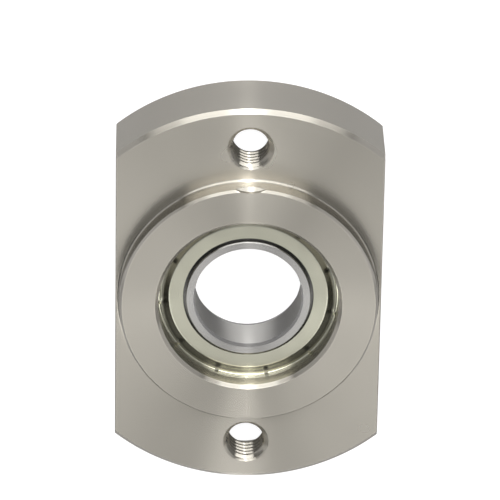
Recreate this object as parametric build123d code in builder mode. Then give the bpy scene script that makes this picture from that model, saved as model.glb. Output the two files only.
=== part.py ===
from build123d import *
import os
from math import asin, cos, radians, sin, sqrt, tan

# A flange-mounted ball bearing: a turned steel housing with two flats holds a shielded deep-groove bearing.
# The origin is the centre of the bore on the housing's back face, +Z runs along the bore towards the boss,
# and +Y runs through the two screw holes. All sizes are in millimetres.

# Housing
flange_dia = 96.0
flange_width = 62.0
flange_thickness = 16.8
flange_front_chamfer = 1.0
flange_back_chamfer = 0.2
flat_edge_chamfer = 0.25
boss_dia = 60.0
boss_height = 4.7
boss_chamfer = 0.5
boss_root_radius = 0.8
lip_overlap = 2.5
lip_thickness = 4.2
lip_chamfer = 0.75
seat_clearance = 0.01
seat_mouth_chamfer = 1.0

# Screw holes: tapped from the front, counterbored from the back
hole_circle_dia = 76.6
tap_drill_dia = 8.4
thread_length = 8.2
hole_mouth_dia = 10.8
hole_mouth_angle = 90.0
counterbore_dia = 17.5
counterbore_chamfer = 0.4
countersink_tool_dia = 18.3

# Bearing envelope
bore_dia = 25.0
bearing_outer_dia = 47.0
bearing_width = 12.0
outer_corner_radius = 0.8
bore_corner_radial = 0.35
bore_corner_axial = 1.5

# Balls and raceways
ball_count = 10
ball_dia = 6.35
ball_clearance = 0.02
groove_conformity = 0.52
shoulder_height = 1.15

# Steps in the rings that take the shields
inner_notch_wall = 2.1
inner_notch_depth = 1.7
inner_edge_chamfer = 0.2
outer_land_wall = 2.3
snap_groove_depth = 0.3
snap_groove_clearance = 0.05

# Shields, pressed from sheet
shield_sheet = 0.35
shield_gap = 0.57
shield_channel_width = 0.69
shield_recess = 0.78
shield_step = 0.67
shield_slope_width = 1.2
shield_curl_radius = 0.5
shield_tail = 0.25
notch_count = 11
notch_width = 0.9
notch_start_angle = -77.3

# Riveted ribbon cage
cage_sheet = 0.7
cage_gap = 0.65
pocket_clearance = 0.12
rivet_dia = 1.2
rivet_hole_clearance = 0.01
rivet_head_dia = 2.0
rivet_head_height = 0.45

# Retaining ring behind the bearing
ring_thickness = 1.75
ring_groove_depth = 1.25
ring_groove_play = 0.1
ring_fit_clearance = 0.05
ring_back_width = 4.0
ring_end_width = 2.6
ring_gap = 7.0
lug_dia = 5.8
lug_hole_dia = 2.5
lug_centre_depth = 3.8
lug_blend_radius = 1.0

# Heights along the bore
total_height = flange_thickness + boss_height
bearing_front_z = total_height - lip_thickness
bearing_mid_z = bearing_front_z - bearing_width / 2
bearing_back_z = bearing_front_z - bearing_width

# Radii that follow from the sizes above
pitch_radius = (bore_dia + bearing_outer_dia) / 4
ball_radius = ball_dia / 2
seat_radius = bearing_outer_dia / 2 + seat_clearance
lip_radius = bearing_outer_dia / 2 - lip_overlap
ring_groove_radius = seat_radius + ring_groove_depth
half_width = bearing_width / 2
outer_race_radius = pitch_radius + ball_radius + ball_clearance
inner_race_radius = pitch_radius - ball_radius - ball_clearance
outer_shoulder_radius = outer_race_radius - shoulder_height
inner_shoulder_radius = inner_race_radius + shoulder_height
outer_land_radius = bearing_outer_dia / 2 - outer_land_wall
inner_notch_radius = bore_dia / 2 + inner_notch_wall

# The shield's section, as radii and heights above the middle of the bearing
shield_top = half_width - shield_recess
shield_floor = shield_top - shield_step
shield_seat = shield_floor - shield_sheet
curl_outer_radius = outer_land_radius + snap_groove_depth - snap_groove_clearance
curl_centre_radius = curl_outer_radius - shield_curl_radius
curl_start = curl_centre_radius - shield_curl_radius
curl_hollow = shield_curl_radius - shield_sheet
slope_end = curl_start - shield_channel_width
slope_start = slope_end - shield_slope_width
shield_bore_radius = inner_notch_radius + shield_gap

# The plane in which every ring of the bearing is drawn: X is the radius, Y the height above the middle
section = Plane(origin=(0, 0, bearing_mid_z), x_dir=(1, 0, 0), z_dir=(0, -1, 0))
mid_plane = Plane.XY.offset(bearing_mid_z)


def mirrored(points):
    """The same points below the middle of the bearing, in the reverse order."""
    return [(radius, -height) for radius, height in reversed(points)]


def raceway(bottom_radius, shoulder_radius, side):
    """Half width of a raceway groove where it meets its shoulder; side is 1 on the outer ring, -1 on the inner."""
    groove_radius = groove_conformity * ball_dia
    centre_radius = bottom_radius - side * groove_radius
    return sqrt(groove_radius**2 - (shoulder_radius - centre_radius) ** 2)


# The countersinking tool: its cone ends in a round shank that grazes the boss's top edge
countersink_tool_height = (countersink_tool_dia - hole_mouth_dia) / 2 / tan(radians(hole_mouth_angle / 2))
with BuildPart() as countersink_tool:
    with BuildSketch(Plane.XZ):
        Polygon(
            (0, 0),
            (hole_mouth_dia / 2, 0),
            (countersink_tool_dia / 2, countersink_tool_height),
            (countersink_tool_dia / 2, countersink_tool_height + boss_height),
            (0, countersink_tool_height + boss_height),
            align=None,
        )
    revolve(axis=Axis.Z)

# Housing: one turning with its flats milled and its screw holes drilled afterwards
with BuildPart() as housing:
    with BuildSketch(Plane.XZ):
        with BuildLine():
            Polyline(
                (seat_radius, 0),
                (flange_dia / 2, 0),
                (flange_dia / 2, flange_thickness),
                (boss_dia / 2, flange_thickness),
                (boss_dia / 2, total_height),
                (lip_radius, total_height),
                (lip_radius, bearing_front_z),
                (seat_radius, bearing_front_z),
                (seat_radius, bearing_back_z),
                (ring_groove_radius, bearing_back_z),
                (ring_groove_radius, bearing_back_z - ring_thickness - ring_groove_play),
                (seat_radius, bearing_back_z - ring_thickness - ring_groove_play),
                close=True,
            )
        make_face()
    revolve(axis=Axis.Z)
    turned = housing.edges().filter_by(GeomType.CIRCLE)
    top_edges = turned.group_by(Axis.Z)[-1].sort_by(SortBy.RADIUS)
    back_edges = turned.group_by(Axis.Z)[0].sort_by(SortBy.RADIUS)
    flange_edges = turned.filter_by_position(Axis.Z, flange_thickness, flange_thickness).sort_by(SortBy.RADIUS)
    chamfer(top_edges[-1], boss_chamfer)
    chamfer(top_edges[0], lip_chamfer)
    chamfer(back_edges[-1], flange_back_chamfer)
    chamfer(back_edges[0], seat_mouth_chamfer)
    chamfer(flange_edges[-1], flange_front_chamfer)
    fillet(flange_edges[0], boss_root_radius)
    with BuildSketch():
        Rectangle(flange_width, flange_dia)
    extrude(amount=total_height, mode=Mode.INTERSECT)
    flats = housing.faces().filter_by(Axis.X).filter_by(GeomType.PLANE)
    flat_edges = flats.edges().filter_by(Axis.Y)
    chamfer(flat_edges, flat_edge_chamfer)
    with Locations(Plane.XY.offset(flange_thickness)):
        with GridLocations(0, hole_circle_dia, 1, 2):
            add(countersink_tool.part, mode=Mode.SUBTRACT)
    with Locations(Plane.XY.offset(flange_thickness)):
        with GridLocations(0, hole_circle_dia, 1, 2):
            CounterSinkHole(tap_drill_dia / 2, hole_mouth_dia / 2, counter_sink_angle=hole_mouth_angle)
    with Locations(Plane(origin=(0, 0, 0), x_dir=(1, 0, 0), z_dir=(0, 0, -1))):
        with GridLocations(0, hole_circle_dia, 1, 2):
            CounterBoreHole(tap_drill_dia / 2, counterbore_dia / 2, flange_thickness - thread_length)
    counterbore_mouths = (
        housing.edges()
        .filter_by(GeomType.CIRCLE)
        .filter_by_position(Axis.Z, 0, 0)
        .filter_by(lambda edge: abs(edge.radius - counterbore_dia / 2) < 1e-6)
    )
    chamfer(counterbore_mouths, counterbore_chamfer)

# Outer ring: raceway, shoulders, and at each side a ledge and a snap groove for the shield
outer_race_half = raceway(outer_race_radius, outer_shoulder_radius, 1)
snap_groove_radius = outer_land_radius + snap_groove_depth
snap_groove_top = shield_floor + shield_curl_radius + snap_groove_clearance
outer_side = [
    (bearing_outer_dia / 2, half_width),
    (outer_land_radius, half_width),
    (outer_land_radius, snap_groove_top),
    (snap_groove_radius, snap_groove_top),
    (snap_groove_radius, shield_seat),
    (outer_shoulder_radius, shield_seat),
    (outer_shoulder_radius, outer_race_half),
]
with BuildPart() as outer_ring:
    with BuildSketch(section):
        with BuildLine():
            Polyline(*outer_side)
            ThreePointArc(outer_side[-1], (outer_race_radius, 0), (outer_side[-1][0], -outer_race_half))
            Polyline(*mirrored(outer_side), outer_side[0])
        make_face()
    revolve(axis=Axis.Z)
    outer_corners = outer_ring.edges().filter_by(GeomType.CIRCLE).group_by(SortBy.RADIUS)[-1]
    fillet(outer_corners, outer_corner_radius)

# Inner ring: raceway, a notch at each side that the shield reaches over, and eased bore corners
inner_race_half = raceway(inner_race_radius, inner_shoulder_radius, -1)
inner_side = [
    (bore_dia / 2, half_width - bore_corner_axial),
    (bore_dia / 2 + bore_corner_radial, half_width),
    (inner_notch_radius - inner_edge_chamfer, half_width),
    (inner_notch_radius, half_width - inner_edge_chamfer),
    (inner_notch_radius, half_width - inner_notch_depth),
    (inner_shoulder_radius, half_width - inner_notch_depth),
    (inner_shoulder_radius, inner_race_half),
]
with BuildPart() as inner_ring:
    with BuildSketch(section):
        with BuildLine():
            Polyline(*inner_side)
            ThreePointArc(inner_side[-1], (inner_race_radius, 0), (inner_side[-1][0], -inner_race_half))
            Polyline(*mirrored(inner_side), inner_side[0])
        make_face()
    revolve(axis=Axis.Z)

# Balls: one solid each, evenly spaced on the pitch circle
balls = []
for number in range(ball_count):
    angle = radians(360 / ball_count * number)
    with BuildPart() as ball:
        with Locations((pitch_radius * cos(angle), pitch_radius * sin(angle), bearing_mid_z)):
            Sphere(ball_radius)
    balls.append(ball)

# Cage: two pressed ribbons whose cups hold the balls, with flats between the cups that meet in the middle
pocket_radius = ball_radius + pocket_clearance
cup_radius = pocket_radius + cage_sheet
cage_outer_radius = outer_shoulder_radius - cage_gap
cage_inner_radius = inner_shoulder_radius + cage_gap
with BuildPart() as cage_front:
    with BuildSketch(mid_plane):
        Circle(cage_outer_radius)
        Circle(cage_inner_radius, mode=Mode.SUBTRACT)
    extrude(amount=cage_sheet)
    with Locations(mid_plane):
        with PolarLocations(pitch_radius, ball_count):
            Sphere(cup_radius)
    with BuildSketch(mid_plane):
        Circle(cage_outer_radius)
        Circle(cage_inner_radius, mode=Mode.SUBTRACT)
    extrude(amount=cup_radius, mode=Mode.INTERSECT)
    with Locations(mid_plane):
        with PolarLocations(pitch_radius, ball_count):
            Sphere(pocket_radius, mode=Mode.SUBTRACT)
    with Locations(mid_plane.offset(cage_sheet)):
        with PolarLocations(pitch_radius, ball_count, start_angle=180 / ball_count):
            Hole(rivet_dia / 2 + rivet_hole_clearance)

with BuildPart() as cage_rear:
    mirror(cage_front.part, about=mid_plane)

# Rivets: a shank through both flats and a domed head on each side
dome_radius = ((rivet_head_dia / 2) ** 2 + rivet_head_height**2) / (2 * rivet_head_height)
dome_centre = cage_sheet + rivet_head_height - dome_radius
dome_half_angle = asin(rivet_head_dia / 2 / dome_radius) / 2
rivet_side = [
    (0, cage_sheet + rivet_head_height),
    (dome_radius * sin(dome_half_angle), dome_centre + dome_radius * cos(dome_half_angle)),
    (rivet_head_dia / 2, cage_sheet),
    (rivet_dia / 2, cage_sheet),
]
with BuildPart() as rivet:
    with BuildSketch(Plane.XZ):
        with BuildLine():
            ThreePointArc(*rivet_side[:3])
            Polyline(*rivet_side[2:], *mirrored(rivet_side[2:]))
            ThreePointArc(*mirrored(rivet_side[:3]))
            Line(mirrored(rivet_side)[-1], rivet_side[0])
        make_face()
    revolve(axis=Axis.Z)

with BuildPart() as cage_rivets:
    with Locations(mid_plane):
        with PolarLocations(pitch_radius, ball_count, start_angle=180 / ball_count):
            add(rivet.part)

# Front shield: flat, sloped to a channel floor that rests on the ledge, then rolled into the snap groove
with BuildPart() as shield_front:
    with BuildSketch(section):
        with BuildLine():
            Polyline(
                (curl_start, shield_floor),
                (slope_end, shield_floor),
                (slope_start, shield_top),
                (shield_bore_radius, shield_top),
                (shield_bore_radius, shield_top - shield_sheet),
                (slope_start - shield_sheet / 2, shield_top - shield_sheet),
                (slope_end - shield_sheet / 2, shield_seat),
                (curl_centre_radius - curl_hollow, shield_seat),
                (curl_centre_radius - curl_hollow, shield_floor),
            )
            ThreePointArc(
                (curl_centre_radius - curl_hollow, shield_floor),
                (curl_centre_radius, shield_floor + curl_hollow),
                (curl_centre_radius + curl_hollow, shield_floor),
            )
            Polyline(
                (curl_centre_radius + curl_hollow, shield_floor),
                (curl_centre_radius + curl_hollow, shield_floor - shield_tail),
                (curl_outer_radius, shield_floor - shield_tail),
                (curl_outer_radius, shield_floor),
            )
            ThreePointArc(
                (curl_outer_radius, shield_floor),
                (curl_centre_radius, shield_floor + shield_curl_radius),
                (curl_start, shield_floor),
            )
        make_face()
    revolve(axis=Axis.Z)
    with BuildSketch(mid_plane.offset(shield_floor)):
        with PolarLocations(curl_centre_radius, notch_count, start_angle=notch_start_angle):
            Rectangle(2 * shield_curl_radius, notch_width)
    extrude(amount=shield_recess + shield_step, mode=Mode.SUBTRACT)

with BuildPart() as shield_rear:
    mirror(shield_front.part, about=mid_plane)

# Retaining ring: tapered towards its open ends, with a drilled lug at each
ring_outer_radius = ring_groove_radius - ring_fit_clearance
ring_inner_radius = ring_outer_radius - (ring_back_width + ring_end_width) / 2
ring_offset = (ring_back_width - ring_end_width) / 2
lug_centre_y = (ring_gap + lug_dia) / 2
lug_centre_x = sqrt((ring_outer_radius - lug_centre_depth) ** 2 - lug_centre_y**2)
with BuildPart() as retaining_ring:
    with BuildSketch(Plane.XY.offset(bearing_back_z - ring_thickness)) as retaining_sketch:
        Circle(ring_outer_radius)
        with Locations((ring_offset, 0)):
            Circle(ring_inner_radius, mode=Mode.SUBTRACT)
        with Locations((lug_centre_x, lug_centre_y), (lug_centre_x, -lug_centre_y)):
            Circle(lug_dia / 2)
        corners = retaining_sketch.vertices().sort_by(Axis.Y)
        fillet([corners[0], corners[-1]], lug_blend_radius)
        with Locations((ring_outer_radius, 0)):
            Rectangle(ring_outer_radius, ring_gap, mode=Mode.SUBTRACT)
        with Locations((lug_centre_x, lug_centre_y), (lug_centre_x, -lug_centre_y)):
            Circle(lug_hole_dia / 2, mode=Mode.SUBTRACT)
    extrude(amount=ring_thickness)

# Files
os.makedirs("parts", exist_ok=True)

housing.part.label = "housing"
export_step(housing.part, "parts/housing.step")
outer_ring.part.label = "outer_ring"
export_step(outer_ring.part, "parts/outer_ring.step")
inner_ring.part.label = "inner_ring"
export_step(inner_ring.part, "parts/inner_ring.step")
for number, ball in enumerate(balls, start=1):
    ball.part.label = f"ball_{number}"
    export_step(ball.part, f"parts/ball_{number}.step")
cage_front.part.label = "cage_front"
export_step(cage_front.part, "parts/cage_front.step")
cage_rear.part.label = "cage_rear"
export_step(cage_rear.part, "parts/cage_rear.step")
cage_rivets.part.label = "cage_rivets"
export_step(cage_rivets.part, "parts/cage_rivets.step")
shield_front.part.label = "shield_front"
export_step(shield_front.part, "parts/shield_front.step")
shield_rear.part.label = "shield_rear"
export_step(shield_rear.part, "parts/shield_rear.step")
retaining_ring.part.label = "retaining_ring"
export_step(retaining_ring.part, "parts/retaining_ring.step")
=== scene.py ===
"""Looks of a flange-mounted ball bearing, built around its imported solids.

The frame is in metres, with its origin at the centre of the bore on the housing's back face, +Z along the bore
towards the boss and +Y through the screw holes. Sizes below are in millimetres and are turned into metres once,
when a mesh is made.
"""

import logging
import math
from collections.abc import Callable, Iterable
from dataclasses import dataclass, field
from enum import Enum

import bmesh
import bpy
import numpy as np
from mathutils import Matrix, Vector
from mathutils.geometry import delaunay_2d_cdt


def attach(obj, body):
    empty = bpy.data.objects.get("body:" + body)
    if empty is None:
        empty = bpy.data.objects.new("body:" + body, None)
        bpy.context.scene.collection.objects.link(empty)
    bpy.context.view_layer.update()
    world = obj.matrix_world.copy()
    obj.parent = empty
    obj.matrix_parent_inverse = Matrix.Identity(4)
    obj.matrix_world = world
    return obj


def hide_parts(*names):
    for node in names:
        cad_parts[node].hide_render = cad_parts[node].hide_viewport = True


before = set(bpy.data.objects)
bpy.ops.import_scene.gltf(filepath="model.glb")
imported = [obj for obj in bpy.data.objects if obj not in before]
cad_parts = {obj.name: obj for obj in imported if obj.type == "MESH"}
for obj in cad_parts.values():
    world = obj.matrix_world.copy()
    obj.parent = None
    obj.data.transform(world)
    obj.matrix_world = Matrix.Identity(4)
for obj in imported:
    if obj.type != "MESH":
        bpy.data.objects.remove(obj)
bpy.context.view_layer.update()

logging.basicConfig(level=logging.INFO, format="%(message)s")
log = logging.getLogger("flanged_bearing")

MM = 0.001
TURN = 2.0 * math.pi
SAME_ANGLE = 1e-5
SAME_POINT_MM = 1e-7
MERGE_MM = 0.0015
SHARP_ANGLE = math.radians(28.0)
HEIGHT_SHARE = 0.37
GRAINS_PER_MM = 2.2

Point = tuple[float, float]
Value = bpy.types.NodeSocket | float | tuple[float, ...] | None


class Finish(Enum):
    """The record's material slots that the pieces take their finish from."""

    HOUSING = "housing_steel"
    RING = "ring_steel"
    BALL = "ball_steel"
    CAGE = "cage_steel"
    SHIELD = "shield_zinc"
    SPRING = "spring_steel"


def angles(count: int, extra: tuple[float, ...] = ()) -> np.ndarray:
    """Angles of one closed turn.

    Args:
        count: how many even steps the turn has.
        extra: further angles, in radians, put in between.

    Returns:
        The angles in rising order, without the closing one.
    """
    even = np.arange(count) * TURN / count
    every = np.sort(np.concatenate([even, np.mod(np.asarray(extra, dtype=float), TURN)]))
    return every[np.concatenate([[True], np.diff(every) > SAME_ANGLE])]


def arc(centre: Point, radius: float, start: float, end: float, steps: int) -> list[Point]:
    """Points of a circular arc in the plane of radius and height.

    Args:
        centre: centre of the arc, as radius and height.
        radius: radius of the arc.
        start: first angle in degrees, counted from the outward direction towards +Z.
        end: last angle in degrees.
        steps: number of chords.

    Returns:
        steps + 1 points, each centre + radius * (cos, sin).
    """
    sweep = np.radians(np.linspace(start, end, steps + 1))
    return list(zip(centre[0] + radius * np.cos(sweep), centre[1] + radius * np.sin(sweep)))


def flattened(points: list[Point], centre: Point, radius: float, power: float) -> list[Point]:
    """A unit arc scaled about a centre and pressed a little flatter on top, as a rolled edge is.

    Args:
        points: the arc's points about (0, 0).
        centre: (radius, height) of its centre.
        radius: its radius.
        power: 1 keeps the circle, and a smaller value presses it flatter.

    Returns:
        The pressed arc's (radius, height) points.
    """
    return [(centre[0] + radius * math.copysign(abs(r) ** power, r), centre[1] + radius * abs(z) ** power)
            for r, z in points]


@dataclass
class Profile:
    """A section in the plane of radius and height, with an edge mark for each point.

    An edge mark above 0 brightens the metal as a painted highlight, and one below 0 darkens it as painted shade in
    gaps and channels. A stretch shorter than least_guards guards gets no guard points.
    """

    guard: float = 0.25
    least_guards: float = 2.5
    points: list[tuple[float, float, float]] = field(default_factory=list)

    def corners(self, *points: Point) -> "Profile":
        """Adds corners, marked for a painted highlight along the edge."""
        return self.smooth(points, 1.0)

    def shaded_corners(self, *points: Point) -> "Profile":
        """Adds corners deep in a gap, marked for painted shade."""
        return self.smooth(points, -1.0)

    def smooth(self, points: Iterable[Point], mark: float = 0.0) -> "Profile":
        """Adds points of a smooth stretch, with no edge mark unless one is given."""
        self.points.extend((float(r), float(z), mark) for r, z in points)
        return self

    def rows(self, closed: bool) -> np.ndarray:
        """The points with a guard point set a little way along each stretch from its corners.

        Args:
            closed: whether the last point joins the first.

        Returns:
            An array of (radius, height, edge mark). The guards keep an edge's painted highlight and shading beside the
            edge.
        """
        source = np.array(self.points)
        following = np.roll(source, -1, axis=0) if closed else np.vstack([source[1:], source[-1:]])
        rows = []
        for here, after in zip(source, following):
            rows.append(here)
            step = after[:2] - here[:2]
            length = float(np.hypot(*step))
            if length < self.least_guards * self.guard:
                continue
            if here[2] > 0.0:
                rows.append(np.append(here[:2] + step * self.guard / length, 0.0))
            if after[2] > 0.0:
                rows.append(np.append(after[:2] - step * self.guard / length, 0.0))
        return np.array(rows)


class Shell:
    """Gathers surfaces in millimetres and joins them into one closed mesh."""

    def __init__(self) -> None:
        """Starts with no surface."""
        self.points: list[np.ndarray] = []
        self.light_marks: list[np.ndarray] = []
        self.faces: list[np.ndarray] = []
        self.axes: list[np.ndarray] = []
        self.axis_y = 0.0
        self.count = 0

    def _add(self, points: np.ndarray, light_marks: np.ndarray) -> int:
        """Stores points and their edge marks.

        Args:
            points: any array whose last axis is (x, y, z).
            light_marks: as many edge marks.

        Returns:
            The first point's index.
        """
        first = self.count
        self.points.append(points.reshape(-1, 3))
        self.light_marks.append(light_marks.ravel())
        self.count += len(self.points[-1])
        return first

    def _face(self, faces: np.ndarray) -> None:
        """Stores faces, each with the upright axis that its surface is turned about."""
        self.faces.append(faces)
        self.axes.append(np.full(len(faces), self.axis_y * MM))

    def grid(self, points: np.ndarray, light_marks: np.ndarray, close_rows: bool = False, close_columns: bool = True,
             keep: np.ndarray | None = None) -> None:
        """Adds a surface given on a grid of two parameters.

        Args:
            points: array of rows by columns by 3.
            light_marks: edge marks, broadcast to rows by columns.
            close_rows: whether the last row joins the first.
            close_columns: whether the last column joins the first.
            keep: optional mask of the cells to keep, rows by columns of cells.
        """
        rows, columns = points.shape[:2]
        first = self._add(points, np.broadcast_to(light_marks, (rows, columns)))
        index = first + np.arange(rows * columns).reshape(rows, columns)
        if close_rows:
            index = np.vstack([index, index[:1]])
        if close_columns:
            index = np.hstack([index, index[:, :1]])
        cells = np.stack([index[:-1, :-1], index[:-1, 1:], index[1:, 1:], index[1:, :-1]], axis=-1)
        self._face(cells[keep] if keep is not None else cells.reshape(-1, 4))

    def polygon(self, points: np.ndarray) -> None:
        """Adds one flat face through the points given in order."""
        first = self._add(points, np.zeros(len(points)))
        self._face(first + np.arange(len(points))[None, :])

    def fill(self, loops: list[np.ndarray], height: float,
             inside: Callable[[np.ndarray, np.ndarray], np.ndarray]) -> None:
        """Fills the flat region between closed loops with triangles.

        Args:
            loops: each loop's points, as arrays of (x, y).
            height: the region's height.
            inside: function of x and y arrays that says which triangle centres belong to the region.
        """
        points = np.vstack(loops)
        edges, start = [], 0
        for loop in loops:
            index = start + np.arange(len(loop))
            edges.append(np.stack([index, np.roll(index, -1)], axis=1))
            start += len(loop)
        flat = [Vector((float(x), float(y))) for x, y in points]
        found = delaunay_2d_cdt(flat, np.vstack(edges).tolist(), [], 0, SAME_POINT_MM)
        corners = np.array([tuple(v) for v in found[0]])
        triangles = np.array([face for face in found[2] if len(face) == 3])
        middle = corners[triangles].mean(axis=1)
        triangles = triangles[inside(middle[:, 0], middle[:, 1])]
        first = self._add(np.column_stack([corners, np.full(len(corners), height)]), np.zeros(len(corners)))
        self._face(first + triangles)

    def piece(self, name: str) -> bpy.types.Object:
        """Joins the surfaces into one mesh object at the origin, in metres, with its faces pointing outwards.

        Args:
            name: the object's name.

        Returns:
            The new object, linked to the scene, with an "edge" attribute from the edge marks.
        """
        points = np.vstack(self.points) * MM
        corners = np.concatenate([f.ravel() for f in self.faces])
        totals = np.concatenate([np.full(len(f), f.shape[1]) for f in self.faces])
        mesh = bpy.data.meshes.new(name)
        mesh.vertices.add(len(points))
        mesh.vertices.foreach_set("co", points.ravel())
        mesh.loops.add(len(corners))
        mesh.loops.foreach_set("vertex_index", corners.astype(np.int32))
        mesh.polygons.add(len(totals))
        mesh.polygons.foreach_set("loop_start", np.concatenate([[0], np.cumsum(totals)[:-1]]).astype(np.int32))
        mesh.update(calc_edges=True)
        for label, domain, values in (("edge", "POINT", self.light_marks), ("axis_y", "FACE", self.axes)):
            marks = mesh.attributes.new(label, "FLOAT", domain)
            marks.data.foreach_set("value", np.concatenate(values).astype(np.float32))
        work = bmesh.new()
        work.from_mesh(mesh)
        bmesh.ops.remove_doubles(work, verts=work.verts, dist=MERGE_MM * MM)
        bmesh.ops.dissolve_degenerate(work, dist=MERGE_MM * MM, edges=work.edges)
        bmesh.ops.recalc_face_normals(work, faces=work.faces)
        open_edges = sum(1 for edge in work.edges if len(edge.link_faces) != 2)
        work.to_mesh(mesh)
        work.free()
        mesh.shade_smooth()
        mesh.set_sharp_from_angle(angle=SHARP_ANGLE)
        made = bpy.data.objects.new(name, mesh)
        bpy.context.scene.collection.objects.link(made)
        log.info("%s: %d faces, %d open edges", name, len(mesh.polygons), open_edges)
        return made


def swept(radii: np.ndarray, heights: np.ndarray, turn: np.ndarray, centre: Point = (0.0, 0.0)) -> np.ndarray:
    """Points of a surface given by its distance from an upright axis.

    Args:
        radii: distances, broadcast to rows by columns.
        heights: heights, broadcast to rows by columns.
        turn: the columns' angles.
        centre: where the axis stands.

    Returns:
        Rows by columns by 3, each (centre + radius * (cos, sin), height).
    """
    shape = np.broadcast_shapes(radii.shape, heights.shape, (1, len(turn)))
    r = np.broadcast_to(radii, shape)
    z = np.broadcast_to(heights, shape)
    return np.stack([centre[0] + r * np.cos(turn), centre[1] + r * np.sin(turn), z], axis=-1)


def revolve(name: str, profile: Profile, columns: int) -> bpy.types.Object:
    """A closed profile carried round the bore's axis.

    Args:
        name: the piece's name.
        profile: the section.
        columns: how many even steps the turn has.

    Returns:
        The new object.
    """
    rows = profile.rows(closed=True)
    shell = Shell()
    shell.grid(swept(rows[:, :1], rows[:, 1:2], angles(columns)), rows[:, 2:], close_rows=True)
    return shell.piece(name)


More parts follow.
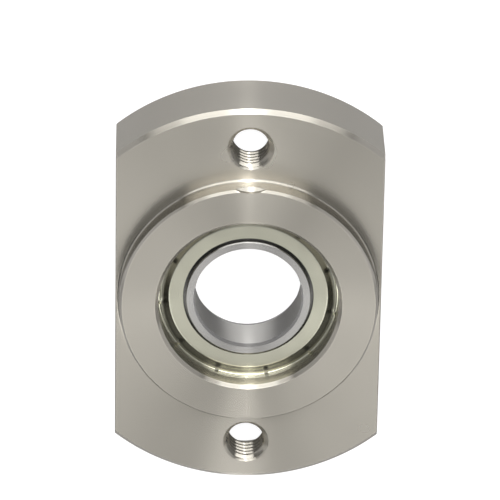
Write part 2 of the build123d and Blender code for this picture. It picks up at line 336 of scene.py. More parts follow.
@dataclass
class Housing:
    """The turned flange housing: flange with two flats, boss, lip, bearing seat and two tapped holes."""

    flange_radius: float = 48.0
    half_width: float = 31.0
    flange_top: float = 16.8
    front_chamfer: float = 1.0
    back_chamfer: float = 0.2
    flat_chamfer: float = 0.25
    boss_radius: float = 30.0
    boss_top: float = 21.5
    boss_chamfer: float = 0.5
    root_radius: float = 0.8
    lip_radius: float = 21.0
    lip_chamfer: float = 0.75
    seat_radius: float = 23.51
    seat_top: float = 17.3
    bearing_back: float = 5.3
    groove_radius: float = 24.76
    groove_bottom: float = 3.45
    seat_mouth: float = 1.0
    hole_offset: float = 38.3
    tap_radius: float = 4.2
    thread_radius: float = 5.0
    thread_pitch: float = 1.5
    thread_bottom: float = 8.6
    mouth_radius: float = 5.4
    counterbore_radius: float = 8.75
    counterbore_chamfer: float = 0.4
    tool_radius: float = 9.15
    flank_angle: float = math.radians(30.0)
    floor_share: float = 1.0 / 16.0
    guard: float = 0.3
    columns: int = 720
    hole_columns: int = 128
    corner_span: tuple[float, float] = (-3.0, 1.0)
    corner_columns: int = 33
    notch_span: float = 8.0
    notch_step: float = 0.2
    cut_rows: int = 20
    cut_margin: float = 0.05
    chamfer_margin: float = 0.02

    def turn(self) -> np.ndarray:
        """Angles round the bore, closer together at the corners of the flats and at the boss's notches.

        Returns:
            The columns' angles, the same in all four quarters.
        """
        corner = math.acos(self.half_width / self.flange_radius)
        near = np.radians(np.linspace(*self.corner_span, self.corner_columns)) + corner
        notch = math.acos((self.boss_radius**2 + self.hole_offset**2 - self.tool_radius**2)
                          / (2 * self.boss_radius * self.hole_offset))
        beside = np.radians(np.arange(0.0, self.notch_span + self.notch_step / 2, self.notch_step))
        quarter = np.concatenate([near, [corner, math.pi / 2 - notch], math.pi / 2 - beside])
        return angles(self.columns, tuple(np.concatenate([quarter, math.pi - quarter, math.pi + quarter, -quarter])))

    def outline(self, turned: np.ndarray, inset: np.ndarray, turn: np.ndarray) -> np.ndarray:
        """Distance of the flange's outside: the nearer of the turned surface and the flat, which is x = constant."""
        flat = (self.half_width - inset) / np.maximum(np.abs(np.cos(turn)), 1e-6)
        return np.minimum(turned, flat)

    def notched(self, radii: np.ndarray, heights: np.ndarray, turn: np.ndarray) -> np.ndarray:
        """Distance of the boss's outside, grazed by the tool that countersinks the screw holes.

        The tool's radius s grows 1:1 with height from the hole's mouth until it reaches the tool's own radius. A ray
        at angle t meets a circle of radius s, centred at distance d, at d*|sin t| - sqrt(s^2 - (d*cos t)^2).

        Args:
            radii: the rows' turned radii.
            heights: the rows' heights.
            turn: the columns' angles.

        Returns:
            The nearer of the turned radius and the tool, rows by columns.
        """
        tool = np.minimum(self.mouth_radius + np.maximum(heights - self.flange_top, 0.0), self.tool_radius)
        across = tool**2 - (self.hole_offset * np.cos(turn)) ** 2
        cut = self.hole_offset * np.abs(np.sin(turn)) - np.sqrt(np.maximum(across, 0.0))
        return np.minimum(radii, np.where(across > 0.0, cut, np.inf))

    def side_rows(self) -> np.ndarray:
        """Rows of the flange's outside.

        Each chamfer is 45 degrees, so a row's radius and inset fall by the height that is left to the face.

        Returns:
            An array of (turned radius, inset of the flat, height, edge mark), from the back face up.
        """
        top, g = self.flange_top, self.guard
        breaks = sorted({self.back_chamfer, self.flat_chamfer})
        heights = [0.0, *breaks, breaks[-1] + g, top - self.front_chamfer - g, top - self.front_chamfer,
                   top - self.flat_chamfer, top]
        marks = [1.0, 1.0, 0.5, 0.0, 0.0, 1.0, 0.5, 1.0]
        rows = [(self.flange_radius - max(self.back_chamfer - z, 0.0) - max(z - top + self.front_chamfer, 0.0),
                 max(self.flat_chamfer - z, 0.0) + max(z - top + self.flat_chamfer, 0.0), z, mark)
                for z, mark in zip(heights, marks)]
        inner = [(rows[i][0] - g, rows[i][1] + g, rows[i][2], 0.0) for i in (0, -1)]
        return np.array([inner[0], *rows, inner[1]])

    def boss_rows(self) -> np.ndarray:
        """Rows of the boss from the flange face over its root and its chamfer to its top face.

        Rows stand closely where the countersinking tool grazes the wall, and one lies where its cone ends.

        Returns:
            An array of (radius, height, edge mark).
        """
        r, root, top, c, g = self.boss_radius, self.root_radius, self.boss_top, self.boss_chamfer, self.guard
        cone_end = self.flange_top + self.tool_radius - self.mouth_radius
        first_cut = self.flange_top + self.hole_offset - r - self.mouth_radius - self.cut_margin
        grazed = np.linspace(first_cut, top - c - self.chamfer_margin, self.cut_rows).round(4)
        levels = sorted({*grazed.tolist(), cone_end})
        profile = Profile()
        profile.smooth([(r + root + g, self.flange_top)])
        profile.smooth(arc((r + root, self.flange_top + root), root, 270.0, 180.0, steps=10))
        profile.smooth([(r, z) for z in levels])
        profile.corners((r, top - c))
        profile.smooth([(r - c * share, top - c + c * share) for share in (0.2, 0.4, 0.6, 0.8)])
        profile.corners((r - c, top))
        profile.smooth([(r - c - g, top)])
        return np.array(profile.points)

    def bore_rows(self) -> np.ndarray:
        """Rows of the inside, from the boss's top face through the lip and the seat to the back face.

        Returns:
            An array of (radius, height, edge mark).
        """
        lip, seat, groove = self.lip_radius, self.seat_radius, self.groove_radius
        profile = Profile(self.guard)
        profile.smooth([(lip + self.lip_chamfer + self.guard, self.boss_top)])
        profile.corners((lip + self.lip_chamfer, self.boss_top), (lip, self.boss_top - self.lip_chamfer),
                        (lip, self.seat_top), (seat, self.seat_top), (seat, self.bearing_back),
                        (groove, self.bearing_back), (groove, self.groove_bottom), (seat, self.groove_bottom),
                        (seat, self.seat_mouth), (seat + self.seat_mouth, 0.0))
        profile.smooth([(seat + self.seat_mouth + self.guard, 0.0)])
        return profile.rows(closed=False)

    def thread_rows(self) -> np.ndarray:
        """Heights of the thread's rows above a groove's middle, one pitch long.

        The rows stand at the edges of the groove's floor, its 60 degree flanks and the crest, and midway between.

        Returns:
            The heights, in rising order.
        """
        flank = (self.thread_radius - self.tap_radius) * math.tan(self.flank_angle)
        floor = self.thread_pitch * self.floor_share
        return np.array([0.0, floor, floor + flank / 2, floor + flank, self.thread_pitch / 2,
                         self.thread_pitch - floor - flank, self.thread_pitch - floor - flank / 2,
                         self.thread_pitch - floor])

    def thread(self, height: np.ndarray, turn: np.ndarray) -> np.ndarray:
        """Radius of the tapped wall at a height and angle.

        The groove's middle climbs one pitch a turn, and its depth falls off along the flanks: the radius is the
        major radius less the distance past the floor times cot 30, held between the tap radius and the major radius.
        A 90 degree countersink opens the mouth.

        Args:
            height: heights, in an array that broadcasts with turn.
            turn: angles about the hole's axis.

        Returns:
            The radius at each height and angle.
        """
        phase = np.mod(height - self.thread_pitch * turn / TURN + self.thread_pitch / 2, self.thread_pitch)
        distance = np.abs(phase - self.thread_pitch / 2)
        past_floor = np.maximum(distance - self.thread_pitch * self.floor_share, 0.0)
        wall = np.maximum(self.thread_radius - past_floor / math.tan(self.flank_angle), self.tap_radius)
        return np.maximum(wall, self.mouth_radius - (self.flange_top - height))

    def hole(self, shell: Shell, centre_y: float) -> None:
        """Adds one screw hole: countersink, thread and counterbore, from the front face to the back face.

        Args:
            shell: the mesh that the hole goes into.
            centre_y: where the hole's axis stands on the Y axis.
        """
        shell.axis_y = centre_y
        turn = np.linspace(0.0, TURN, self.hole_columns + 1)
        turns = math.ceil((self.flange_top - self.thread_bottom) / self.thread_pitch) + 1
        base = self.thread_bottom - self.thread_pitch
        steps = (base + self.thread_pitch * np.arange(turns + 1)[:, None] + self.thread_rows()).ravel()
        height = np.clip(steps[:, None] + self.thread_pitch * turn / TURN, self.thread_bottom, self.flange_top)
        wall = self.thread(height, turn)
        shell.grid(swept(wall, height, turn, (0.0, centre_y)), np.zeros((len(steps), 1)), close_columns=False)
        profile = Profile(self.guard)
        profile.smooth([(self.counterbore_radius - self.guard, self.thread_bottom)])
        profile.corners((self.counterbore_radius, self.thread_bottom),
                        (self.counterbore_radius, self.counterbore_chamfer),
                        (self.counterbore_radius + self.counterbore_chamfer, 0.0))
        rows = profile.rows(closed=False)
        floor_edge = self.thread(np.full((1, len(turn)), self.thread_bottom), turn)
        radii = np.vstack([floor_edge, np.broadcast_to(rows[:, :1], (len(rows), len(turn)))])
        heights = np.vstack([[self.thread_bottom], rows[:, 1:2]])
        shell.grid(swept(radii, heights, turn, (0.0, centre_y)), np.vstack([[0.0], rows[:, 2:]]), close_columns=False)
        shell.axis_y = 0.0

    def circle(self, radius: float, centre_y: float) -> np.ndarray:
        """Points of a hole's mouth, matching the hole's columns."""
        turn = np.linspace(0.0, TURN, self.hole_columns + 1)[:-1]
        return np.column_stack([radius * np.cos(turn), centre_y + radius * np.sin(turn)])

    def build(self) -> bpy.types.Object:
        """Makes the housing's mesh.

        The outside, the boss, its top face and the inside are turned surfaces that share their columns. The flange's
        two faces are filled with triangles, and the screw holes join them.

        Returns:
            The new object.
        """
        shell, turn = Shell(), self.turn()
        side, boss, bore = self.side_rows(), self.boss_rows(), self.bore_rows()
        outer = self.outline(side[:, :1], side[:, 1:2], turn)
        inner = np.minimum(self.notched(boss[:, :1], boss[:, 1:2], turn), outer[-2])
        outer[-1] = np.maximum(outer[-1], inner[0])
        shell.grid(swept(outer, side[:, 2:3], turn), side[:, 3:])
        shell.grid(swept(inner, boss[:, 1:2], turn), boss[:, 2:])
        face = np.vstack([inner[-1:], np.full((1, len(turn)), bore[0, 0])])
        shell.grid(swept(face, np.full((2, 1), self.boss_top), turn), np.zeros((2, 1)))
        shell.grid(swept(bore[:, :1], bore[:, 1:2], turn), bore[:, 2:])
        direction = np.column_stack([np.cos(turn), np.sin(turn)])
        mouths = ((self.mouth_radius, self.flange_top, outer[-1], inner[0]),
                  (self.counterbore_radius + self.counterbore_chamfer, 0.0, outer[0], np.full(len(turn), bore[-1, 0])))
        for mouth, height, outside, inside in mouths:
            loops = [direction * outside[:, None], direction * inside[:, None],
                     self.circle(mouth, self.hole_offset), self.circle(mouth, -self.hole_offset)]

            def belongs(x: np.ndarray, y: np.ndarray) -> np.ndarray:
                """Whether points lie between the two outlines and outside both holes.

                Args:
                    x: the points' first coordinates.
                    y: their second coordinates.

                Returns:
                    A truth value for each point.
                """
                angle = np.mod(np.arctan2(y, x), TURN)
                around = np.append(turn, TURN)
                limit_in = np.interp(angle, around, np.append(inside, inside[0]))
                limit_out = np.interp(angle, around, np.append(outside, outside[0]))
                distance = np.hypot(x, y)
                off_hole = np.hypot(x, np.abs(y) - self.hole_offset) > mouth
                return (distance > limit_in) & (distance < limit_out) & off_hole

            shell.fill(loops, height, belongs)
        for centre_y in (self.hole_offset, -self.hole_offset):
            self.hole(shell, centre_y)
        return shell.piece("housing_turned")


@dataclass
class Bearing:
    """The shielded deep-groove bearing: its rings and its two pressed shields."""

    middle: float = 11.3
    half_width: float = 6.0
    bore_radius: float = 12.5
    outer_radius: float = 23.5
    outer_corner: float = 0.8
    bore_corner_radial: float = 0.35
    bore_corner_axial: float = 1.5
    pitch_radius: float = 18.0
    race_half_gap: float = 3.195
    groove_radius: float = 3.302
    shoulder_height: float = 1.15
    notch_radius: float = 14.6
    notch_depth: float = 1.7
    edge_chamfer: float = 0.2
    land_radius: float = 21.2
    snap_radius: float = 21.5
    sheet: float = 0.35
    shield_bore: float = 15.17
    slope_start: float = 18.56
    slope_end: float = 19.76
    curl_centre: float = 20.95
    curl_radius: float = 0.5
    curl_power: float = 0.78
    crown: tuple[int, int] = (4, 11)
    shield_top: float = 5.22
    shield_floor: float = 4.55
    bend: float = 0.12
    bore_edge: float = 0.06
    bore_guard: float = 0.3
    tail: float = 0.25
    snap_clearance: float = 0.05
    shade_start: float = 0.15
    cuts: int = 11
    cut_width: float = 0.9
    first_cut: float = -77.3
    dent_depth: float = 0.10
    dent_width: float = 0.55
    dent_span: float = 4.0
    dent_columns: int = 25
    dent_mark: float = 0.5
    channel_shade: float = -0.66
    crown_highlight: float = 1.0
    outer_guard: float = 0.15
    inner_guard: float = 0.12
    columns: int = 360

    def race(self, side: float) -> tuple[list[Point], float]:
        """A raceway, whose arc has its centre inside the groove and ends where it meets the shoulder.

        Args:
            side: 1 on the outer ring and -1 on the inner ring.

        Returns:
            The arc's points and the shoulder's radius.
        """
        bottom = self.pitch_radius + side * self.race_half_gap
        shoulder = bottom - side * self.shoulder_height
        centre = bottom - side * self.groove_radius
        reach = math.degrees(math.acos(abs(shoulder - centre) / self.groove_radius))
        facing = 0.0 if side > 0 else 180.0
        points = arc((centre, self.middle), self.groove_radius, facing + side * reach, facing - side * reach,
                     steps=20)
        return points, shoulder

    def mirrored(self, upper: list[Point]) -> list[Point]:
        """The same points below the middle of the bearing, in the reverse order."""
        return [(r, 2 * self.middle - z) for r, z in reversed(upper)]

    def build_outer(self) -> bpy.types.Object:
        """The outer ring, with the raceway, and a ledge and snap groove for a shield at each side.

        Returns:
            The new object.
        """
        top = self.middle + self.half_width
        seat = self.middle + self.shield_floor - self.sheet
        snap_top = self.middle + self.shield_floor + self.curl_radius + self.snap_clearance
        points, shoulder = self.race(1.0)
        corner = self.outer_corner
        rounded = arc((self.outer_radius - corner, top - corner), corner, 0.0, 90.0, steps=6)
        upper = [(self.land_radius, top), (self.land_radius, snap_top), (self.snap_radius, snap_top),
                 (self.snap_radius, seat), (shoulder, seat)]
        profile = Profile(self.outer_guard)
        profile.smooth(rounded).corners(*upper).smooth(points)
        profile.corners(*self.mirrored(upper)).smooth(self.mirrored(rounded))
        return revolve("outer_ring_ground", profile, self.columns)

    def build_inner(self) -> bpy.types.Object:
        """The inner ring, with the raceway, a notch under each shield and eased bore corners.

        Returns:
            The new object.
        """
        top = self.middle + self.half_width
        points, shoulder = self.race(-1.0)
        floor = top - self.notch_depth
        upper = [(self.bore_radius, top - self.bore_corner_axial),
                 (self.bore_radius + self.bore_corner_radial, top),
                 (self.notch_radius - self.edge_chamfer, top),
                 (self.notch_radius, top - self.edge_chamfer)]
        # The notch's deep corners are darkened as painted shade, where the gap between ring and shield lies in shadow.
        deep = [(self.notch_radius, top - self.edge_chamfer - self.shade_start), (self.notch_radius, floor),
                (shoulder, floor)]
        profile = Profile(self.inner_guard)
        profile.corners(*upper).shaded_corners(*deep).smooth(points)
        profile.shaded_corners(*self.mirrored(deep)).corners(*self.mirrored(upper))
        return revolve("inner_ring_ground", profile, self.columns)

    def shield_section(self) -> tuple[np.ndarray, list[int]]:
        """The shield's closed section above the bearing's middle.

        The rolled edge comes first: up from the channel's floor, over the top, down to the tail and back inside. Then
        come the shield's underside, its bore, its flat, the slope and the channel.

        Returns:
            Rows of (radius, height, edge mark), and four of their indices: the last row over the rolled edge, the
            first and the last row under it, and the first row of the shield's face.
        """
        hollow = self.curl_radius - self.sheet
        seat = self.shield_floor - self.sheet
        middle, bend = (self.curl_centre, self.shield_floor), self.bend
        over = flattened(arc((0.0, 0.0), 1.0, 180.0, 0.0, steps=14), middle, self.curl_radius, self.curl_power)
        under = arc(middle, hollow, 0.0, 180.0, steps=8)
        tail = self.shield_floor - self.tail
        first, last = self.crown
        section = Profile()
        # The crown of the rolled edge is brightened as a painted highlight.
        section.smooth(over[:first]).smooth(over[first:last], self.crown_highlight).smooth(over[last:])
        ends = [len(over) - 1]
        section.corners((self.curl_centre + self.curl_radius, tail), (self.curl_centre + hollow, tail))
        section.smooth(under)
        ends += [len(section.points) - len(under), len(section.points) - 1]
        section.corners((self.curl_centre - hollow, seat), (self.curl_centre - self.curl_radius, seat),
                        (self.slope_start - self.sheet / 2 + (self.slope_end - self.slope_start), seat))
        section.smooth([(self.slope_start - self.sheet / 2, self.shield_top - self.sheet)])
        section.corners((self.shield_bore, self.shield_top - self.sheet),
                        (self.shield_bore, self.shield_top - self.bore_edge))
        ends.append(len(section.points))
        section.smooth([(self.shield_bore + self.bore_edge, self.shield_top),
                        (self.shield_bore + self.bore_guard, self.shield_top),
                        (self.slope_start - 3 * bend, self.shield_top), (self.slope_start - bend, self.shield_top)])
        # The slope and the channel are darkened as painted shade, where they lie under the lip and mirror the dark
        # surround.
        slope = (self.shield_floor - self.shield_top) / (self.slope_end - self.slope_start)
        falling = np.linspace(self.slope_start + bend * 0.6, self.slope_end - bend * 0.6, 6)
        section.smooth([(r, self.shield_top + slope * (r - self.slope_start)) for r in falling], self.channel_shade)
        section.smooth([(self.slope_end + bend, self.shield_floor), (self.slope_end + 3 * bend, self.shield_floor)],
                       self.channel_shade)
        return np.array(section.points), ends

    def dents(self, radii: np.ndarray, turn: np.ndarray, middles: np.ndarray) -> np.ndarray:
        """How deep the crimping tool has pressed the channel inside each cut.

        Across the cut the depth falls as exp(-(distance / dent width)^2). Along the radius it is a sine arch from the
        slope's start to the rolled edge.

        Args:
            radii: the rows' radii.
            turn: the columns' angles.
            middles: the angles of the cuts.

        Returns:
            Depths, rows by columns.
        """
        away = np.abs(np.mod(turn[:, None] - middles + math.pi, TURN) - math.pi).min(axis=1) * self.slope_end
        root = self.curl_centre - self.curl_radius
        share = np.clip((radii - self.slope_start) / (root - self.slope_start), 0.0, 1.0)
        return self.dent_depth * np.sin(math.pi * share) * np.exp(-(away / self.dent_width) ** 2)

    def build_shield(self, name: str, side: float) -> bpy.types.Object:
        """One shield: its section is carried round the bore.

        At each cut the rolled edge is left out above the channel's floor, two strips close what stays of it, and its
        section closes each end.

        Args:
            name: the piece's name.
            side: 1 at the front and -1 at the back.

        Returns:
            The new object.
        """
        rows, (over_end, under_start, under_end, face_start) = self.shield_section()
        half_cut = self.cut_width / 2 / self.curl_centre
        middles = np.radians(self.first_cut) + np.arange(self.cuts) * TURN / self.cuts
        starts, ends = middles - half_cut, middles + half_cut
        pressed = middles[:, None] + np.radians(np.linspace(-self.dent_span, self.dent_span, self.dent_columns))
        turn = angles(self.columns, tuple(np.concatenate([starts, ends, pressed.ravel()])))
        on_face = np.arange(len(rows))[:, None] >= face_start
        sunk = np.where(on_face, self.dents(rows[:, :1], turn, middles), 0.0)
        heights = self.middle + side * (rows[:, 1:2] - sunk)
        points = swept(rows[:, :1], heights, turn)
        after = np.append(turn[1:], turn[0] + TURN)
        centre = (turn + after) / 2
        gap = np.abs(np.mod(centre[:, None] - middles + math.pi, TURN) - math.pi).min(axis=1) < half_cut
        keep = np.ones((len(rows), len(turn)), dtype=bool)
        keep[:over_end, gap] = False
        keep[under_start:under_end, gap] = False
        shell = Shell()
        # The channel is made darker inside each dent, in proportion to the dent's depth.
        marks = np.maximum(rows[:, 2:] - self.dent_mark * sunk / self.dent_depth, -1.0)
        shell.grid(points, marks, close_rows=True, keep=keep)
        for pair in ([0, under_end], [over_end, under_start]):
            shell.grid(points[pair], np.zeros((2, 1)), keep=gap[None, :])
        rolled = [*range(over_end + 1), *range(under_start, under_end + 1)]
        for angle in np.concatenate([starts, ends]):
            shell.polygon(swept(rows[rolled, :1], self.middle + side * rows[rolled, 1:2], np.array([angle]))[:, 0])
        return shell.piece(name)


@dataclass
class Camera:
    """The photograph's viewpoint, fitted to the outline of the flange, the boss and the bearing's circles."""

    tilt: float = math.radians(26.525)
    yaw: float = math.radians(1.410)
    roll: float = math.radians(-1.0044)
    distance: float = 1127.41
    offset_x: float = -0.669
    offset_y: float = -3.538
    lens: float = 343.65
    sensor: float = 36.0
    clip: tuple[float, float] = (0.05, 20.0)

    def build(self) -> None:
        """Makes the camera. A point of the part is turned by roll * tilt * yaw into the camera's axes, then moved."""
        turned = (Matrix.Rotation(self.roll, 3, "Z") @ Matrix.Rotation(self.tilt, 3, "X")
                  @ Matrix.Rotation(self.yaw, 3, "Y"))
        place = turned.transposed() @ Vector((-self.offset_x, -self.offset_y, self.distance))
        data = bpy.data.cameras.new("photo_view")
        data.lens, data.sensor_width = self.lens, self.sensor
        data.clip_start, data.clip_end = self.clip
        camera = bpy.data.objects.new("photo_view", data)
        camera.matrix_world = Matrix.Translation(place * MM) @ turned.transposed().to_4x4()
        bpy.context.scene.collection.objects.link(camera)
        bpy.context.scene.camera = camera


class Graph:
    """Short ways to add and join the nodes of one tree."""

    def __init__(self, tree: bpy.types.NodeTree) -> None:
        """Takes the tree that the nodes go into."""
        self.tree = tree

    def add(self, kind: str, *inputs: Value, **settings: object) -> bpy.types.Node:
        """Adds a node.

        Args:
            kind: the node's type, without the leading "ShaderNode".
            inputs: what goes into its first sockets: a socket is joined, None is passed over, anything else is set.
            settings: the node's own properties.

        Returns:
            The new node.
        """
        node = self.tree.nodes.new("ShaderNode" + kind)
        for key, value in settings.items():
            setattr(node, key, value)
        for place, value in enumerate(inputs):
            self.put(node, place, value)
        return node

    def put(self, node: bpy.types.Node, place: int | str, value: Value) -> None:
        """Joins a socket to one of a node's inputs, or sets that input.

        Args:
            node: the node.
            place: the input's number or name.
            value: the socket that feeds it, its new value, or None to leave it alone.
        """
        if isinstance(value, bpy.types.NodeSocket):
            self.tree.links.new(value, node.inputs[place])
        elif value is not None:
            node.inputs[place].default_value = value

    def math(self, operation: str, *inputs: Value) -> bpy.types.NodeSocket:
        """Adds a number node and returns its result."""
        return self.add("Math", *inputs, operation=operation).outputs[0]

    def vector(self, operation: str, *inputs: Value) -> bpy.types.NodeSocket:
        """Adds a vector node and returns its result."""
        return self.add("VectorMath", *inputs, operation=operation).outputs[0]

    def mixed(self, share: Value, first: Value, second: Value) -> bpy.types.NodeSocket:
        """Mixes two colours.

        Args:
            share: how much of the second colour there is, from 0 to 1.
            first: the first colour, as a socket or as red, green and blue.
            second: the second colour.

        Returns:
            The mixed colour.
        """
        mix = self.add("Mix", share, data_type="RGBA")
        places = [i for i, socket in enumerate(mix.inputs) if socket.type == "RGBA"]
        for place, colour in zip(places, (first, second)):
            self.put(mix, place, colour if isinstance(colour, bpy.types.NodeSocket) else (*colour, 1.0))
        return next(socket for socket in mix.outputs if socket.type == "RGBA")

    def ramp(self, value: bpy.types.NodeSocket,
             stops: tuple[tuple[float, tuple[float, ...]], ...]) -> bpy.types.NodeSocket:
        """Reads a colour off a ramp.

        Args:
            value: where on the ramp to read.
            stops: the ramp's stops, as position and colour.

        Returns:
            The colour.
        """
        node = self.add("ValToRGB", value)
        elements = node.color_ramp.elements
        while len(elements) < len(stops):
            elements.new(0.5)
        for element, (position, colour) in zip(elements, stops):
            element.position, element.color = position, (*colour, 1.0)
        return node.outputs[0]

    def spread(self, noise: bpy.types.NodeSocket, amount: float) -> bpy.types.NodeSocket:
        """Turns noise about 0.5 into a factor about 1."""
        centred = self.math("SUBTRACT", noise, 0.5)
        return self.math("MULTIPLY_ADD", centred, amount, 1.0)


def new_group(name: str, inputs: tuple[tuple[str, float], ...], outputs: tuple[tuple[str, str], ...]) -> Graph:
    """Makes a node group.

    Args:
        name: the group's name.
        inputs: its number inputs, as name and value.
        outputs: its outputs, as name and kind.

    Returns:
        The group's graph.
    """
    tree = bpy.data.node_groups.new(name, "ShaderNodeTree")
    for label, value in inputs:
        tree.interface.new_socket(label, in_out="INPUT", socket_type="NodeSocketFloat").default_value = value
    for label, kind in outputs:
        tree.interface.new_socket(label, in_out="OUTPUT", socket_type="NodeSocket" + kind)
    return Graph(tree)


def turning_group() -> bpy.types.NodeTree:
    """The marks of a lathe: the direction across them, the distance from their axis and their tone.

    With the axis at (0, a), the marks run along c = (a - y, x, 0), and the direction across them is normal x c.
    The tone is noise along one line, read at the distance from the axis plus a share of the height, so that it makes
    rings on faces, walls and chamfers alike.

    Returns:
        The group.
    """
    graph = new_group("turning", (("Lines per mm", 4.0),),
                      (("Across", "Vector"), ("Radius mm", "Float"), ("Tone", "Float")))
    taken = graph.tree.nodes.new("NodeGroupInput")
    given = graph.tree.nodes.new("NodeGroupOutput")
    place = graph.add("SeparateXYZ", graph.add("TexCoord").outputs["Object"])
    axis = graph.add("Attribute", attribute_name="axis_y").outputs["Fac"]
    x, y = place.outputs["X"], graph.math("SUBTRACT", place.outputs["Y"], axis)
    along = graph.add("CombineXYZ", graph.math("MULTIPLY", y, -1.0), x, 0.0).outputs[0]
    turned = graph.add("VectorTransform", along, vector_type="VECTOR", convert_from="OBJECT", convert_to="WORLD")
    normal = graph.add("NewGeometry").outputs["Normal"]
    across = graph.vector("CROSS_PRODUCT", normal, turned.outputs[0])
    radius = graph.math("SQRT", graph.math("ADD", graph.math("MULTIPLY", x, x), graph.math("MULTIPLY", y, y)))
    radius_mm = graph.math("MULTIPLY", radius, 1.0 / MM)
    reach = graph.math("MULTIPLY_ADD", place.outputs["Z"], HEIGHT_SHARE / MM, radius_mm)
    lines = graph.add("TexNoise", noise_dimensions="1D")
    graph.put(lines, "W", graph.math("MULTIPLY", reach, taken.outputs["Lines per mm"]))
    graph.put(lines, "Scale", 1.0)
    graph.put(lines, "Detail", 3.0)
    for place_name, value in (("Across", across), ("Radius mm", radius_mm), ("Tone", lines.outputs[0])):
        graph.put(given, place_name, value)
    return graph.tree


def wander_group() -> bpy.types.NodeTree:
    """Slow changes of tone over a surface, as plating and handling leave.

    Returns:
        The group.
    """
    graph = new_group("wander", (("Size mm", 20.0),), (("Tone", "Float"),))
    taken = graph.tree.nodes.new("NodeGroupInput")
    given = graph.tree.nodes.new("NodeGroupOutput")
    cloud = graph.add("TexNoise", graph.add("TexCoord").outputs["Object"])
    graph.put(cloud, "Scale", graph.math("DIVIDE", 1.0 / MM, taken.outputs["Size mm"]))
    graph.put(cloud, "Detail", 2.0)
    graph.put(given, "Tone", cloud.outputs[0])
    return graph.tree


@dataclass(frozen=True)
class Metal:
    """How one finish looks."""

    colour: tuple[float, float, float]
    roughness: float
    roughness_wander: float = 0.5
    anisotropy: float = 0.0
    lines_per_mm: float = 4.0
    line_tone: float = 0.0
    line_depth: float = 0.0
    wander: float = 0.0
    wander_size: float = 20.0
    edge_highlight: float = 0.0
    painted_shade: float = 0.85
    grain: float = 0.0
    honed_within: float = 0.0
    honed_roughness: float = 0.2

    def build(self, name: str, groups: dict[str, bpy.types.NodeTree]) -> bpy.types.Material:
        """Makes the material.

        Args:
            name: the material's name.
            groups: the shared node groups, by name.

        Returns:
            A metal whose colour is colour * lines * wander * edges, where the edges factor paints highlights on edges
            and shade in gaps, with roughness that follows the same marks.
        """
        material = bpy.data.materials.new(name)
        material.use_nodes = True
        graph = Graph(material.node_tree)
        shader = graph.tree.nodes["Principled BSDF"]
        shader.inputs["Metallic"].default_value = 1.0
        shader.inputs["Anisotropic"].default_value = self.anisotropy
        turning = graph.add("Group", node_tree=groups["turning"])
        turning.inputs["Lines per mm"].default_value = self.lines_per_mm
        wander = graph.add("Group", node_tree=groups["wander"])
        wander.inputs["Size mm"].default_value = self.wander_size
        edge = graph.add("Attribute", attribute_name="edge").outputs["Fac"]
        tone = graph.spread(turning.outputs["Tone"], self.line_tone)
        tone = graph.math("MULTIPLY", tone, graph.spread(wander.outputs["Tone"], self.wander))
        # Edge marks above 0 brighten the colour as a painted highlight, and marks below 0 darken it as painted shade.
        bright = graph.math("MULTIPLY_ADD", graph.math("MAXIMUM", edge, 0.0), self.edge_highlight, 1.0)
        dark = graph.math("MULTIPLY_ADD", graph.math("MINIMUM", edge, 0.0), self.painted_shade, 1.0)
        tone = graph.math("MULTIPLY", tone, graph.math("MULTIPLY", bright, dark))
        colour = graph.add("RGB")
        colour.outputs[0].default_value = (*self.colour, 1.0)
        shade = graph.add("VectorMath", colour.outputs[0], operation="SCALE")
        graph.put(shade, "Scale", tone)
        graph.put(shader, "Base Color", shade.outputs[0])
        rough = graph.math("MULTIPLY", graph.spread(wander.outputs["Tone"], self.roughness_wander), self.roughness)
        if self.grain:
            fine = graph.add("TexNoise", graph.add("TexCoord").outputs["Object"])
            graph.put(fine, "Scale", GRAINS_PER_MM / MM)
            rough = graph.math("MULTIPLY", rough, graph.spread(fine.outputs[0], self.grain))
        if self.honed_within:
            inside = graph.math("LESS_THAN", turning.outputs["Radius mm"], self.honed_within)
            mix = graph.add("Mix", inside)
            graph.put(mix, "A", rough)
            graph.put(mix, "B", self.honed_roughness)
            rough = mix.outputs["Result"]
        graph.put(shader, "Roughness", rough)
        if self.anisotropy:
            graph.put(shader, "Tangent", turning.outputs["Across"])
        if self.line_depth:
            bump = graph.add("Bump")
            graph.put(bump, "Height", turning.outputs["Tone"])
            graph.put(bump, "Strength", 1.0)
            graph.put(bump, "Distance", self.line_depth * MM)
            graph.put(shader, "Normal", bump.outputs[0])
        return material


METALS = {
    Finish.HOUSING: Metal((0.524, 0.497, 0.437), 0.25, anisotropy=1.0, lines_per_mm=5.0, line_tone=0.05,
                          line_depth=0.0005, wander=0.06, wander_size=26.0, edge_highlight=0.12),
    Finish.RING: Metal((0.52, 0.51, 0.49), 0.24, anisotropy=1.0, lines_per_mm=9.0, line_tone=0.05, grain=0.3,
                       wander=0.06, edge_highlight=0.10, honed_within=12.55, honed_roughness=0.50, painted_shade=0.5),
    Finish.BALL: Metal((0.66, 0.66, 0.67), 0.06),
    Finish.CAGE: Metal((0.50, 0.48, 0.43), 0.34, wander=0.15, wander_size=4.0),
    Finish.SHIELD: Metal((0.68, 0.67, 0.545), 0.22, anisotropy=0.6, lines_per_mm=7.0, line_tone=0.05,
                         line_depth=0.0005, wander=0.06, wander_size=9.0, edge_highlight=0.45),
    Finish.SPRING: Metal((0.09, 0.09, 0.095), 0.42, wander=0.3, wander_size=6.0),
}


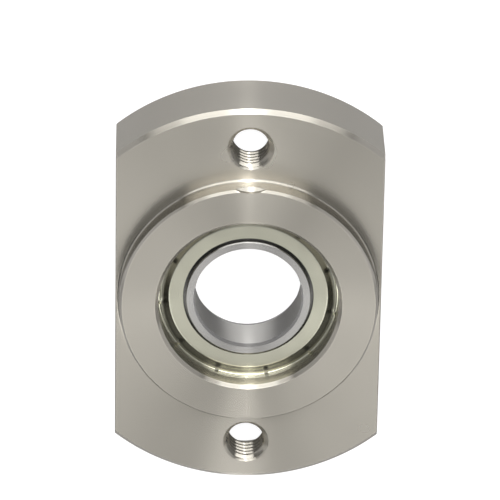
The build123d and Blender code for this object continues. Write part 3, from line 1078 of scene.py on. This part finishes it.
@dataclass(frozen=True)
class SoftBox:
    """A rectangular lamp that faces the part; a radiance of 1 looks white."""

    name: str
    direction: tuple[float, float, float]
    distance: float
    size: tuple[float, float]
    radiance: float

    def build(self) -> None:
        """Makes the lamp."""
        data = bpy.data.lights.new(self.name, "AREA")
        data.shape, data.size, data.size_y = "RECTANGLE", self.size[0], self.size[1]
        data.energy = self.radiance * math.pi * self.size[0] * self.size[1]
        lamp = bpy.data.objects.new(self.name, data)
        lamp.visible_camera = False
        toward = Vector(self.direction).normalized()
        lamp.location = toward * self.distance
        lamp.rotation_euler = toward.to_track_quat("Z", "Y").to_euler()
        bpy.context.scene.collection.objects.link(lamp)


@dataclass(frozen=True)
class Zone:
    """How bright the surround looks in reflections, from the horizon to overhead, over a range of azimuths.

    The azimuth is counted both ways from +Y, in degrees. A level is a sine of elevation and a radiance.
    """

    name: str
    until: float
    levels: tuple[tuple[float, float], ...]


@dataclass
class Studio:
    """A white floor, a surround whose brightness goes by azimuth and elevation, and four narrow lamps.

    The zones' levels were fitted to the tones of the photograph's reflections, then rounded, grouped and changed. The
    lamps stand in the plane of the screw holes.
    """

    floor_half: float = 3.0
    floor_glow: float = 0.97
    floor_in_gloss: float = 0.35
    floor_tone: float = 0.3
    gloss_tint: tuple[float, float, float] = (0.98, 0.985, 1.03)
    cool_until: float = 0.25
    plain_from: float = 0.4
    blend: float = 2.0
    peak: float = 4.0
    zones: tuple[Zone, ...] = (
        Zone("rear_middle", 7.0, ((0.0, 1.6), (0.12, 1.6), (0.24, 1.6), (0.30, 4.0), (0.52, 4.0), (0.57, 0.8),
                                  (0.70, 2.0), (0.80, 2.5), (0.88, 1.35), (1.0, 0.9))),
        Zone("rear_near", 15.0, ((0.0, 2.0), (0.12, 1.2), (0.20, 0.0), (0.36, 0.6), (0.45, 1.9), (0.60, 3.4),
                                 (0.70, 3.8), (0.83, 3.6), (0.88, 1.3), (1.0, 0.85))),
        Zone("rear_inner", 28.0, ((0.0, 0.4), (0.16, 0.2), (0.28, 0.2), (0.40, 1.5), (0.50, 3.4), (0.60, 3.1),
                                  (0.70, 3.1), (0.83, 3.4), (0.88, 1.2), (1.0, 0.75))),
        Zone("rear_outer", 45.0, ((0.0, 0.0), (0.35, 0.05), (0.50, 1.1), (0.60, 2.5), (0.70, 3.3), (0.83, 3.1),
                                  (0.88, 0.85), (1.0, 0.45))),
        Zone("sides", 105.0, ((0.0, 0.75), (0.12, 1.1), (0.20, 0.8), (0.30, 0.8), (0.40, 0.65), (0.50, 0.25),
                              (0.75, 0.05), (0.88, 0.25), (1.0, 0.3))),
        Zone("flanks", 135.0, ((0.0, 0.85), (0.12, 0.9), (0.20, 0.3), (0.28, 0.0), (0.90, 0.0), (1.0, 0.55))),
        Zone("front", 171.0, ((0.0, 0.25), (0.12, 0.2), (0.25, 0.03), (0.40, 0.12), (0.50, 0.65), (0.60, 1.15),
                              (0.70, 1.55), (0.78, 2.3), (0.84, 2.3), (0.88, 0.45), (1.0, 0.5))),
        Zone("front_middle", 180.0, ((0.0, 0.1), (0.25, 0.2), (0.50, 0.2), (0.60, 0.35), (0.70, 0.8), (0.80, 1.1),
                                     (0.88, 0.45), (1.0, 0.05))),
    )
    lamps: tuple[SoftBox, ...] = (
        SoftBox("rear_low_strip", (0.0, 0.988, 0.156), 0.45, (0.024, 0.13), 14.0),
        SoftBox("rear_high_strip", (0.0, 0.588, 0.809), 0.45, (0.04, 0.094), 15.0),
        SoftBox("front_low_strip", (0.0, -0.9945, 0.1045), 0.45, (0.04, 0.094), 6.0),
        SoftBox("front_middle_strip", (0.0, -0.743, 0.669), 0.45, (0.04, 0.094), 2.5),
    )

    def floor(self) -> None:
        """The floor: white to the camera, paler grey in reflections, and it still takes the object's shadow."""
        shell = Shell()
        half = self.floor_half / MM
        shell.polygon(np.array([(-half, -half, 0.0), (half, -half, 0.0), (half, half, 0.0), (-half, half, 0.0)]))
        plane = shell.piece("floor")
        material = bpy.data.materials.new("floor_white")
        material.use_nodes = True
        material.node_tree.nodes.clear()
        graph = Graph(material.node_tree)
        path = graph.add("LightPath")
        clear = graph.math("MAXIMUM", path.outputs["Is Camera Ray"], path.outputs["Is Transmission Ray"])
        level = graph.math("MULTIPLY_ADD", path.outputs["Is Glossy Ray"], self.floor_in_gloss,
                           graph.math("MULTIPLY", clear, self.floor_glow))
        tint = graph.mixed(path.outputs["Is Glossy Ray"], (1.0, 1.0, 1.0), self.gloss_tint)
        glow = graph.add("Emission", tint, level)
        paper = graph.add("BsdfDiffuse", (self.floor_tone, self.floor_tone, self.floor_tone, 1.0))
        total = graph.add("AddShader", paper.outputs[0], glow.outputs[0])
        graph.add("OutputMaterial", total.outputs[0])
        plane.data.materials.append(material)

    def world(self) -> None:
        """The surround: white to the camera, and the zones' levels for everything else.

        Neighbouring zones blend over a few degrees of azimuth, and the light near the horizon is slightly cool.
        """
        world = bpy.data.worlds.new("surround")
        bpy.context.scene.world = world
        world.use_nodes = True
        world.node_tree.nodes.clear()
        graph = Graph(world.node_tree)
        toward = graph.add("SeparateXYZ", graph.add("TexCoord").outputs["Generated"])
        aside = graph.math("ABSOLUTE", toward.outputs["X"])
        azimuth = graph.math("DEGREES", graph.math("ARCTAN2", aside, toward.outputs["Y"]))
        level, reached = None, 0.0
        for zone in self.zones:
            ramp = graph.ramp(toward.outputs["Z"], tuple((z, (value / self.peak,) * 3) for z, value in zone.levels))
            if level is None:
                level = ramp
            else:
                share = graph.add("MapRange", azimuth, reached - self.blend, reached + self.blend,
                                  interpolation_type="SMOOTHSTEP").outputs[0]
                level = graph.mixed(share, level, ramp)
            reached = zone.until
        cool = graph.ramp(toward.outputs["Z"], ((0.0, self.gloss_tint), (self.cool_until, self.gloss_tint),
                                                (self.plain_from, (1.0, 1.0, 1.0))))
        seen = graph.vector("MULTIPLY", level, cool)
        bright = graph.add("VectorMath", seen, operation="SCALE")
        graph.put(bright, "Scale", self.peak)
        colour = graph.mixed(graph.add("LightPath").outputs["Is Camera Ray"], bright.outputs[0], (1.0, 1.0, 1.0))
        graph.add("OutputWorld", graph.add("Background", colour, 1.0).outputs[0])

    def build(self) -> None:
        """Makes the floor, the surround and the lamps."""
        self.floor()
        self.world()
        for lamp in self.lamps:
            lamp.build()


def place(piece: bpy.types.Object, body: str, finish: Finish, *nodes: str) -> None:
    """Hangs a piece from its body's empty and hides the CAD nodes that it stands for.

    Args:
        piece: the piece.
        body: the body that it rides on.
        finish: the finish that it takes; not used.
        nodes: the CAD nodes that it stands for.
    """
    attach(piece, body)
    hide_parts(*nodes)
    log.info("%s stands for %s on %s", piece.name, ", ".join(nodes), body)


def main() -> None:
    """Builds every piece, dresses it and lights it."""
    bpy.context.scene.view_settings.view_transform = "Standard"
    Camera().build()
    Studio().build()
    groups = {"turning": turning_group(), "wander": wander_group()}
    materials = {finish: metal.build(finish.value, groups) for finish, metal in METALS.items()}
    bearing = Bearing()
    pieces = (
        (Housing().build(), "housing", Finish.HOUSING, "housing"),
        (bearing.build_outer(), "housing", Finish.RING, "outer_ring"),
        (bearing.build_inner(), "inner_ring", Finish.RING, "inner_ring"),
        (bearing.build_shield("shield_front_pressed", 1.0), "housing", Finish.SHIELD, "shield_front"),
        (bearing.build_shield("shield_rear_pressed", -1.0), "housing", Finish.SHIELD, "shield_rear"),
    )
    for piece, body, finish, node in pieces:
        piece.data.materials.append(materials[finish])
        place(piece, body, finish, node)
    finishes = {"ball": Finish.BALL, "cage": Finish.CAGE, "retaining": Finish.SPRING}
    for name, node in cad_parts.items():
        finish = finishes.get(name.split("_")[0])
        if finish:
            node.data.materials.clear()
            node.data.materials.append(materials[finish])


if __name__ == "__main__":
    main()
